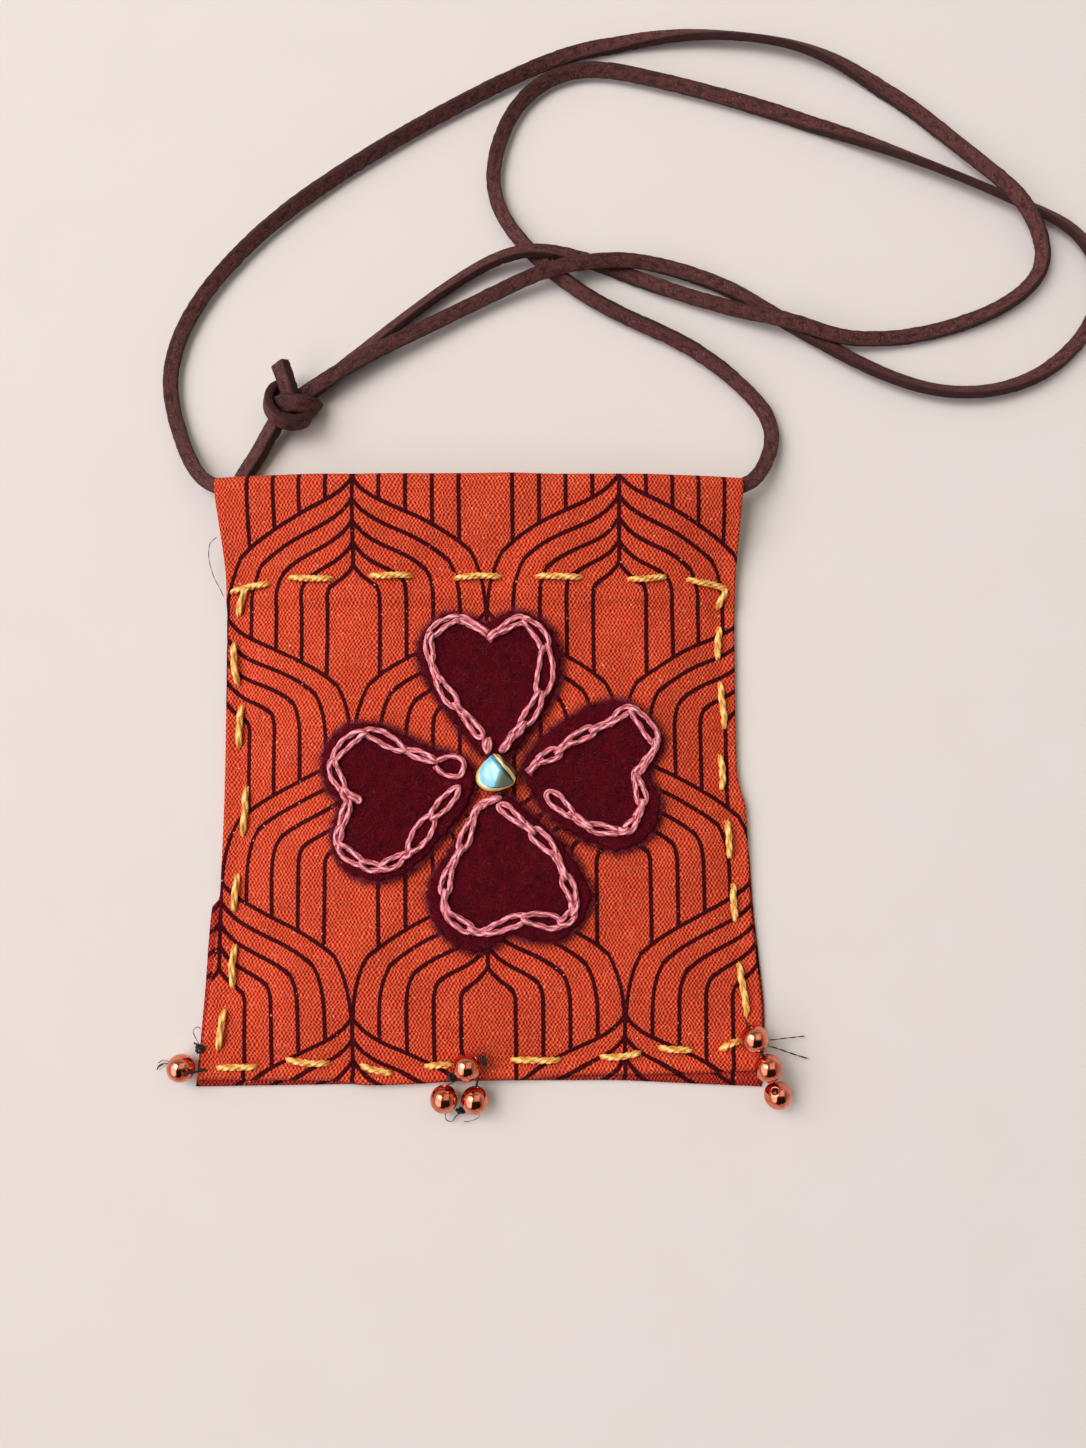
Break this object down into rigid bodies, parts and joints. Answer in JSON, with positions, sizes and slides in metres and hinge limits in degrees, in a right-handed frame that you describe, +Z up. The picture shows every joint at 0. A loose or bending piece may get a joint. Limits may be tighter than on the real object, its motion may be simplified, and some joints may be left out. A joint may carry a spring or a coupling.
{
  "type": "beaded medicine bag",
  "caption": "Small flat cotton pouch on a suede neck cord, with felt hearts, hand stitching, a stone bead and copper beads.",
  "frame": {"origin": "middle of the back panel's underside, the face that the bag lies on", "axes": "+Z up out of the front panel, +Y towards the top fold and the cord, +X to the right seen from the front"},
  "size_m": [0.1833, 0.211, 0.0102],
  "materials": {
    "printed_cotton": "plain weave cotton, orange-red with dark wine line print",
    "wine_felt": "fuzzy wool felt",
    "pink_floss": "stranded embroidery floss, soft sheen",
    "yellow_floss": "stranded embroidery floss, soft sheen",
    "copper": "mirror polished copper",
    "turquoise": "polished nugget with gold-coloured edges",
    "suede": "dark red-brown suede lace",
    "black_thread": "fine black sewing thread"
  },
  "bodies": {
    "root": {"front_panel": "printed_cotton", "back_panel": "printed_cotton", "heart_top": "wine_felt", "heart_chain_top": "pink_floss", "heart_left": "wine_felt", "heart_chain_left": "pink_floss", "heart_right": "wine_felt", "heart_chain_right": "pink_floss", "heart_bottom": "wine_felt", "heart_chain_bottom": "pink_floss", "top_stitch_1": "yellow_floss", "top_stitch_2": "yellow_floss", "top_stitch_3": "yellow_floss", "top_stitch_4": "yellow_floss", "top_stitch_5": "yellow_floss", "top_stitch_6": "yellow_floss", "top_stitch_7": "yellow_floss", "left_stitch_1": "yellow_floss", "left_stitch_2": "yellow_floss", "left_stitch_3": "yellow_floss", "left_stitch_4": "yellow_floss", "left_stitch_5": "yellow_floss", "left_stitch_6": "yellow_floss", "left_stitch_7": "yellow_floss", "right_stitch_1": "yellow_floss", "right_stitch_2": "yellow_floss", "right_stitch_3": "yellow_floss", "right_stitch_4": "yellow_floss", "right_stitch_5": "yellow_floss", "right_stitch_6": "yellow_floss", "right_stitch_7": "yellow_floss", "bottom_stitch_1": "yellow_floss", "bottom_stitch_2": "yellow_floss", "bottom_stitch_3": "yellow_floss", "bottom_stitch_4": "yellow_floss", "bottom_stitch_5": "yellow_floss", "bottom_stitch_6": "yellow_floss", "bottom_stitch_7": "yellow_floss", "bottom_stitch_8": "yellow_floss", "nugget_bead": "turquoise", "nugget_thread": "black_thread", "copper_bead_left": "copper", "copper_bead_centre_1": "copper", "copper_bead_centre_2": "copper", "copper_bead_centre_3": "copper", "copper_bead_right_1": "copper", "copper_bead_right_2": "copper", "copper_bead_right_3": "copper", "bead_thread_left": "black_thread", "bead_thread_centre": "black_thread", "bead_thread_right": "black_thread", "neck_cord": "suede", "cord_knot": "suede", "cord_tail": "suede"}
  },
  "joints": []
}
